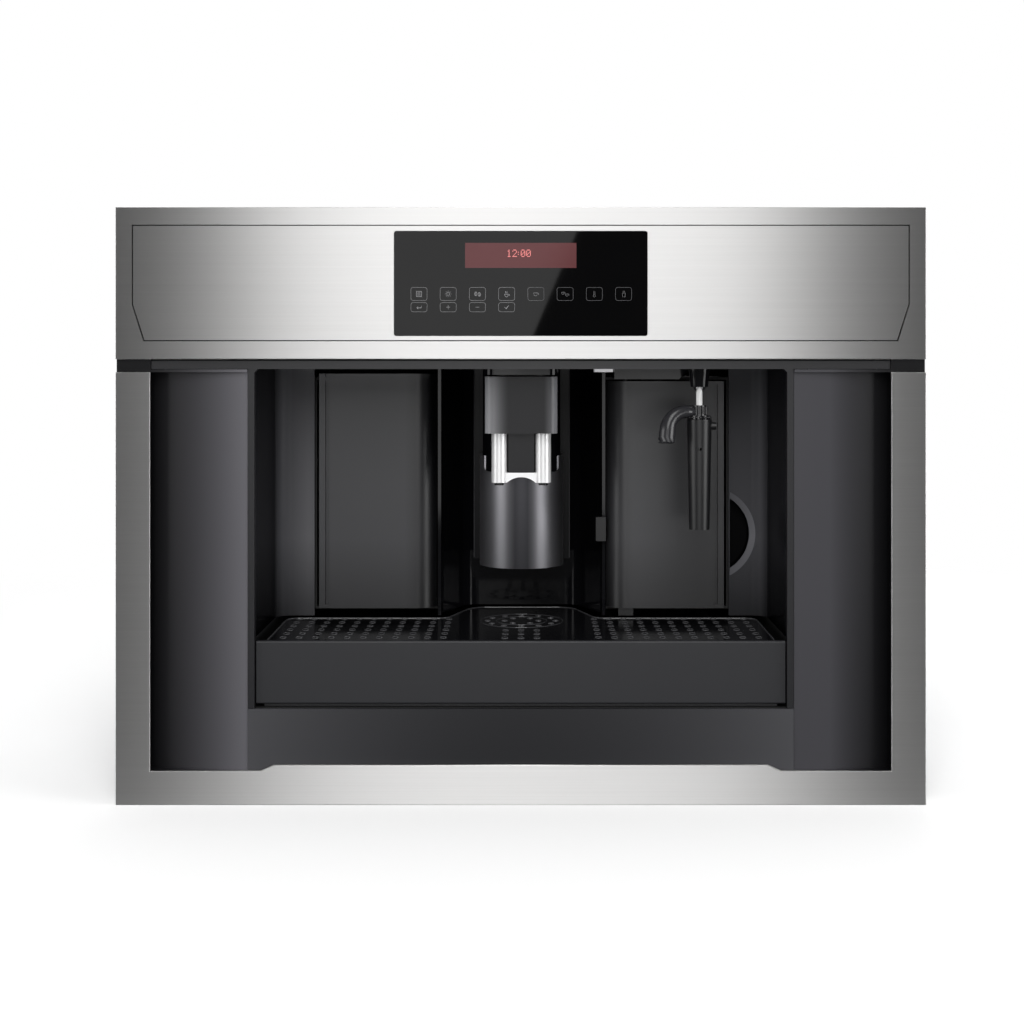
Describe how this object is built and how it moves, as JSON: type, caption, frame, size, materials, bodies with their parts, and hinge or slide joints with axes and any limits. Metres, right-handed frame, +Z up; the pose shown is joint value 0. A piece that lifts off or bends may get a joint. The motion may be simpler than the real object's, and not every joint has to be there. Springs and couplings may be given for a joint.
{
  "type": "built-in coffee machine",
  "caption": "Compact built-in bean-to-cup coffee machine: steel front with touch glass, cup bay with sliding spout, drip tray, water tank column, service door, steam wand and pull-out rails.",
  "frame": {"origin": "bottom centre of the whole machine's box, in the closed position", "axes": "+X to the right seen from the front, -Y out of the front towards the user, +Z up"},
  "size_m": [0.595, 0.412, 0.4388],
  "materials": {
    "brushed_steel": "satin stainless, horizontal brushing",
    "carrier_steel": "black coated sheet steel",
    "casing_sheet": "galvanised sheet steel",
    "rail_steel": "bright zinc plated steel",
    "control_glass": "black back-printed glass",
    "display_red": "dark red display window",
    "circuit_board": "printed circuit board",
    "satin_black": "satin dark grey moulding",
    "gloss_black": "glossy black moulding",
    "textured_dark": "fine-textured dark grey moulding",
    "drum_grey": "satin metallic dark grey",
    "chrome": "polished chrome",
    "white_pipe": "white steam pipe",
    "lamp_lens": "frosted lamp lens",
    "clear_tank": "smoked clear plastic",
    "grounds_plastic": "dark plastic",
    "brew_plastic": "glass-filled plastic",
    "cast_alloy": "cast aluminium",
    "burr_steel": "hardened steel",
    "motor_casing": "black motor housing",
    "hose": "silicone hose",
    "screws": "plated screws",
    "inlet_plastic": "black thermoplastic"
  },
  "bodies": {
    "cabinet_rails": {"outer_rails": "rail_steel"},
    "middle_slides": {"middle_rails": "rail_steel"},
    "machine": {"inner_rails": "rail_steel", "casing_shell": "casing_sheet", "back_panel": "casing_sheet", "top_panel": "casing_sheet", "panel_screws": "screws", "mounting_frame": "carrier_steel", "front_frame": "brushed_steel", "fascia_surround": "brushed_steel", "fascia_plate": "brushed_steel", "control_glass": "control_glass", "display_window": "display_red", "touch_board": "circuit_board", "control_housing": "satin_black", "bay_trim": "satin_black", "grip_panel_left": "satin_black", "grip_panel_right": "satin_black", "lower_fascia": "satin_black", "bay_wall_left": "satin_black", "bay_wall_right": "satin_black", "niche_wall": "gloss_black", "bay_ceiling": "gloss_black", "bay_lamp": "lamp_lens", "spout_drum": "drum_grey", "spout_column": "gloss_black", "hinge_pins": "textured_dark", "tray_housing": "satin_black", "tank_housing": "satin_black", "brew_housing": "satin_black", "brew_frame": "brew_plastic", "inner_frame": "satin_black", "boiler": "cast_alloy", "water_pump": "motor_casing", "grinder_body": "motor_casing", "bean_hopper": "clear_tank", "powder_funnel": "satin_black", "power_board": "circuit_board", "mains_inlet": "inlet_plastic", "water_hoses": "hose"},
    "spout_carriage": {"spout_block": "textured_dark", "spout_tubes": "chrome", "nozzle_tips": "gloss_black"},
    "steam_swivel": {"steam_ball": "gloss_black"},
    "steam_arm": {"steam_pipe": "white_pipe", "wand_grip": "gloss_black"},
    "frother": {"frother_sleeve": "gloss_black"},
    "drip_tray": {"tray_front": "textured_dark", "tray_pan": "satin_black", "grounds_box": "grounds_plastic"},
    "tray_grid": {"drip_grid": "gloss_black"},
    "tank": {"tank_front": "textured_dark", "water_tank": "clear_tank"},
    "door": {"service_door": "textured_dark"},
    "hopper_cover": {"bean_lid": "satin_black"},
    "funnel_cover": {"funnel_lid": "satin_black"},
    "grind_dial": {"grind_knob": "satin_black"},
    "power_rocker": {"main_switch": "inlet_plastic"},
    "burr": {"grinder_burr": "burr_steel"},
    "brew_chamber": {"brew_carriage": "brew_plastic"}
  },
  "joints": [
    {"name": "pull_out", "type": "slide", "parent": "cabinet_rails", "child": "machine", "axis": [0, -1, 0], "range_m": [0, 0.34]},
    {"name": "middle_slide", "type": "slide", "parent": "cabinet_rails", "child": "middle_slides", "axis": [0, -1, 0], "range_m": [0, 0.1701]},
    {"name": "spout_height", "type": "slide", "parent": "machine", "child": "spout_carriage", "axis": [0, 0, -1], "range_m": [0, 0.045]},
    {"name": "steam_turn", "type": "hinge", "parent": "machine", "child": "steam_swivel", "pos_m": [0.134, -0.178, 0.307], "axis": [0, 0, 1], "range_deg": [-40, 40]},
    {"name": "steam_tilt", "type": "hinge", "parent": "steam_swivel", "child": "steam_arm", "pos_m": [0.134, -0.178, 0.307], "axis": [-1, 0, 0], "range_deg": [0, 35]},
    {"name": "frother_pull", "type": "slide", "parent": "steam_arm", "child": "frother", "axis": [0, 0, -1], "range_m": [0, 0.05]},
    {"name": "tray_pull", "type": "slide", "parent": "machine", "child": "drip_tray", "axis": [0, -1, 0], "range_m": [0, 0.25]},
    {"name": "grid_lift", "type": "slide", "parent": "drip_tray", "child": "tray_grid", "axis": [0, 0, 1], "range_m": [0, 0.008]},
    {"name": "tank_pull", "type": "slide", "parent": "machine", "child": "tank", "axis": [0, -1, 0], "range_m": [0, 0.26]},
    {"name": "door_swing", "type": "hinge", "parent": "machine", "child": "door", "pos_m": [0.084, -0.09, 0.22], "axis": [0, 0, -1], "range_deg": [0, 90]},
    {"name": "bean_lid_hinge", "type": "hinge", "parent": "machine", "child": "hopper_cover", "pos_m": [0, 0.115, 0.42775], "axis": [-1, 0, 0], "range_deg": [0, 100]},
    {"name": "funnel_lid_hinge", "type": "hinge", "parent": "machine", "child": "funnel_cover", "pos_m": [0.117, 0.018, 0.42775], "axis": [-1, 0, 0], "range_deg": [0, 100]},
    {"name": "grind_turn", "type": "hinge", "parent": "machine", "child": "grind_dial", "pos_m": [-0.115, 0.029, 0.43], "axis": [0, 0, 1], "range_deg": [-60, 60]},
    {"name": "power_rock", "type": "hinge", "parent": "machine", "child": "power_rocker", "pos_m": [0.2, 0.196, 0.1], "axis": [1, 0, 0], "range_deg": [-7, 7]},
    {"name": "burr_spin", "type": "hinge", "parent": "machine", "child": "burr", "pos_m": [0, 0.044, 0.32], "axis": [0, 0, 1], "continuous": true},
    {"name": "brew_lift", "type": "slide", "parent": "machine", "child": "brew_chamber", "axis": [0, 0, 1], "range_m": [0, 0.03]}
  ],
  "couplings": [
    {"joint": "middle_slide", "follows": "pull_out", "ratio": 0.5}
  ]
}
